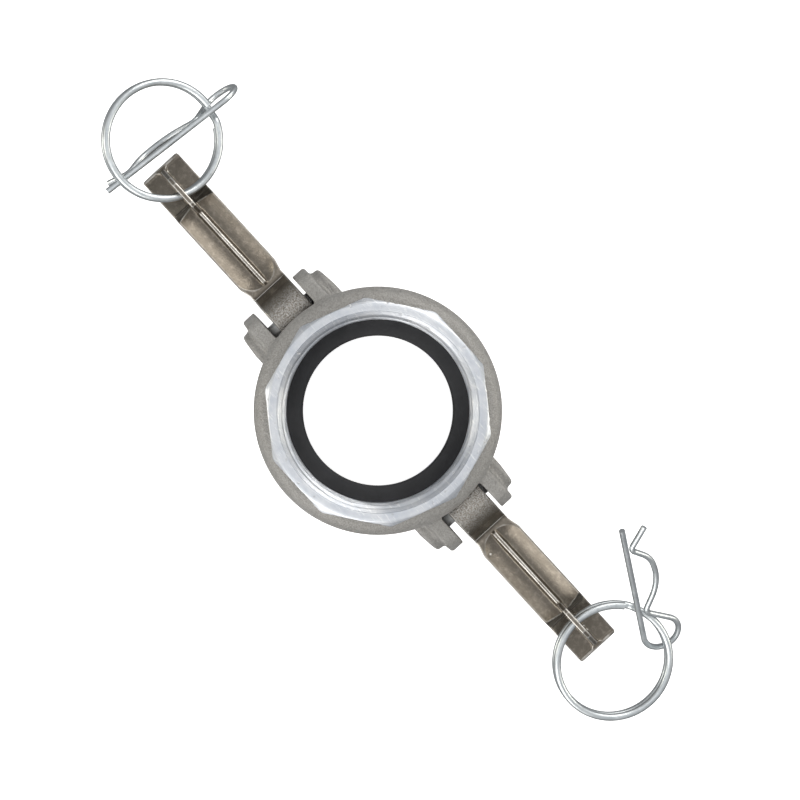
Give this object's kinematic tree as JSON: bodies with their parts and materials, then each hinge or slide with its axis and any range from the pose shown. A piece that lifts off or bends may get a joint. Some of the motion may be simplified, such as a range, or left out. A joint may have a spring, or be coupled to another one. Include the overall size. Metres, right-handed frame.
{
  "type": "camlock coupling",
  "caption": "Quick-release hose coupling: a round socket with two cam arms that swing in to lock, and an internal pipe thread behind it.",
  "frame": {"origin": "centre of the socket's open mouth, in the plane of the mouth face", "axes": "+Z along the coupling's axis, from the mouth up to the threaded end; cam arm a lies along +X and arm b along -X when open"},
  "size_m": [0.2593, 0.0778, 0.062],
  "materials": {
    "cast_aluminium": "as-cast outside, turned at the hub face and bores",
    "gasket_rubber": "matt moulded black rubber",
    "cast_stainless": "investment cast, tumbled",
    "pin_steel": "ground",
    "zinc_wire": "bright zinc plate"
  },
  "bodies": {
    "body": {"coupling_body": "cast_aluminium", "gasket": "gasket_rubber", "pivot_pin_a": "pin_steel", "pivot_pin_b": "pin_steel"},
    "arm_a": {"cam_arm_a": "cast_stainless"},
    "arm_b": {"cam_arm_b": "cast_stainless"},
    "ring_a": {"pull_ring_a": "zinc_wire"},
    "ring_b": {"pull_ring_b": "zinc_wire"},
    "clip_a": {"safety_clip_a": "zinc_wire"},
    "clip_b": {"safety_clip_b": "zinc_wire"}
  },
  "joints": [
    {"name": "cam_arm_pivot_a", "type": "hinge", "parent": "body", "child": "arm_a", "pos_m": [0.04, 0.0008, 0.013], "axis": [0, -1, 0], "range_deg": [-35, 90]},
    {"name": "cam_arm_pivot_b", "type": "hinge", "parent": "body", "child": "arm_b", "pos_m": [-0.04, 0.0008, 0.013], "axis": [0, 1, 0], "range_deg": [-35, 90]},
    {"name": "pull_ring_hinge_a", "type": "hinge", "parent": "arm_a", "child": "ring_a", "pos_m": [0.09305, 0.0008, 0.0105], "axis": [-0.0209, 0.9998, 0], "range_deg": [-140, 95]},
    {"name": "pull_ring_hinge_b", "type": "hinge", "parent": "arm_b", "child": "ring_b", "pos_m": [-0.09305, 0.0008, 0.0105], "axis": [-0.3196, -0.9106, 0.2621], "range_deg": [-100, 26]},
    {"name": "safety_clip_hinge_a", "type": "hinge", "parent": "ring_a", "child": "clip_a", "pos_m": [0.11981, 0.01714, 0.00442], "axis": [-0.7906, 0.5492, 0.2708], "range_deg": [0, 60]},
    {"name": "safety_clip_hinge_b", "type": "hinge", "parent": "ring_b", "child": "clip_b", "pos_m": [-0.10833, 0.02547, 0.00939], "axis": [0.9166, -0.2473, -0.3141], "range_deg": [0, 60]}
  ]
}
